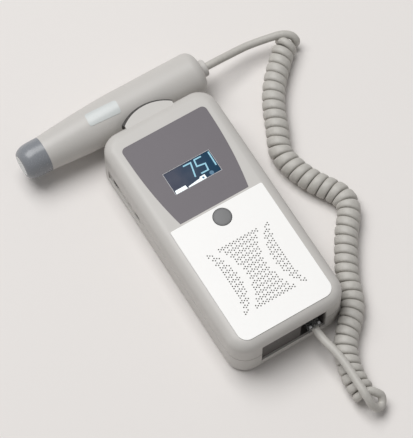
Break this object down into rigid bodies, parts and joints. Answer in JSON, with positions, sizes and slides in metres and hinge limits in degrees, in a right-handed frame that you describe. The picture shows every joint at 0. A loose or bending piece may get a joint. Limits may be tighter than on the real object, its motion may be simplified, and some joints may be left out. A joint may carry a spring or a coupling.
{
  "type": "fetal doppler monitor",
  "caption": "Flat hand-held heartbeat monitor with a display, a round button and a speaker grille, its probe docked across one end on a curly cord.",
  "frame": {"origin": "centre of the flat rear face on which the monitor lies", "axes": "+X to the right seen from the front, +Y towards the end that holds the probe, +Z out of the front face"},
  "size_m": [0.1828, 0.242, 0.0348],
  "materials": {
    "body_plastic": "light warm grey moulded plastic",
    "screw_steel": "zinc plated",
    "panel_plastic": "purple-grey moulded panel",
    "window_clear": "clear polished window",
    "lcd_glass": "dark blue-grey display glass",
    "white_plastic": "white moulded plastic",
    "black_plastic": "black moulded plastic",
    "speaker_steel": "plated steel",
    "speaker_paper": "treated paper",
    "button_plastic": "grey moulded button",
    "red_plastic": "red switch stem",
    "circuit_board": "green solder mask",
    "dark_plastic": "dark grey moulded plastic",
    "spring_steel": "nickel plated spring steel",
    "contact_brass": "gold-plated contact",
    "cell_can": "printed steel can",
    "tip_plastic": "blue-grey moulded plastic",
    "face_plastic": "pale resin face",
    "crystal": "piezo ceramic",
    "backing": "damping compound",
    "label_film": "pale printed film",
    "cord_jacket": "grey soft cord jacket",
    "clear_plastic": "clear moulded plastic"
  },
  "bodies": {
    "monitor": {"front_shell": "body_plastic", "rear_shell": "body_plastic", "shell_screws": "screw_steel", "display_panel": "panel_plastic", "display_window": "window_clear", "lcd_glass": "lcd_glass", "lcd_backlight": "white_plastic", "lcd_frame": "black_plastic", "speaker_plate": "white_plastic", "speaker_cloth": "speaker_paper", "speaker_basket": "speaker_steel", "speaker_cone": "speaker_paper", "speaker_magnet": "speaker_steel", "button_switch": "black_plastic", "main_board": "circuit_board", "board_parts": "black_plastic", "board_screws": "screw_steel", "side_panel": "body_plastic", "side_board": "circuit_board", "volume_pot": "dark_plastic", "slide_switch": "spring_steel", "audio_socket": "black_plastic", "end_panel": "dark_plastic", "socket_board": "circuit_board", "probe_socket": "black_plastic", "socket_contacts": "contact_brass", "battery_cells": "cell_can", "battery_springs": "spring_steel", "battery_plates": "spring_steel", "cord_probe_lead": "cord_jacket", "cord_coil": "cord_jacket", "cord_plug_lead": "cord_jacket", "modular_plug": "clear_plastic", "plug_contacts": "contact_brass"},
    "power_button": {"power_button": "button_plastic", "switch_plunger": "red_plastic"},
    "volume_wheel": {"volume_wheel": "black_plastic"},
    "slide_knob": {"slide_knob": "body_plastic"},
    "battery_door": {"battery_door": "body_plastic"},
    "plug_latch": {"plug_latch": "clear_plastic"},
    "probe": {"probe_upper_shell": "body_plastic", "probe_lower_shell": "body_plastic", "probe_tip_cap": "tip_plastic", "probe_face": "face_plastic", "probe_crystals": "crystal", "probe_backing": "backing", "probe_board": "circuit_board", "probe_label": "label_film", "probe_collar": "body_plastic"}
  },
  "joints": [
    {"name": "power_button_press", "type": "slide", "parent": "monitor", "child": "power_button", "axis": [0, 0, -1], "range_m": [0, 0.0008], "stiffness_N_per_m": 400},
    {"name": "volume_turn", "type": "hinge", "parent": "monitor", "child": "volume_wheel", "pos_m": [-0.02925, 0.0573, 0.0118], "axis": [0, 0, 1], "range_deg": [-135, 135]},
    {"name": "slide_knob_move", "type": "slide", "parent": "monitor", "child": "slide_knob", "axis": [0, -1, 0], "range_m": [0, 0.002]},
    {"name": "battery_door_slide", "type": "slide", "parent": "monitor", "child": "battery_door", "axis": [0, -1, 0], "range_m": [0, 0.008]},
    {"name": "plug_latch_press", "type": "hinge", "parent": "monitor", "child": "plug_latch", "pos_m": [0.0132, -0.0679, 0.0182], "axis": [1, 0, 0], "range_deg": [0, 8], "stiffness_Nm_per_rad": 0.02},
    {"name": "probe_lift", "type": "slide", "parent": "monitor", "child": "probe", "axis": [0, 1, 0], "range_m": [0, 0.05]}
  ]
}
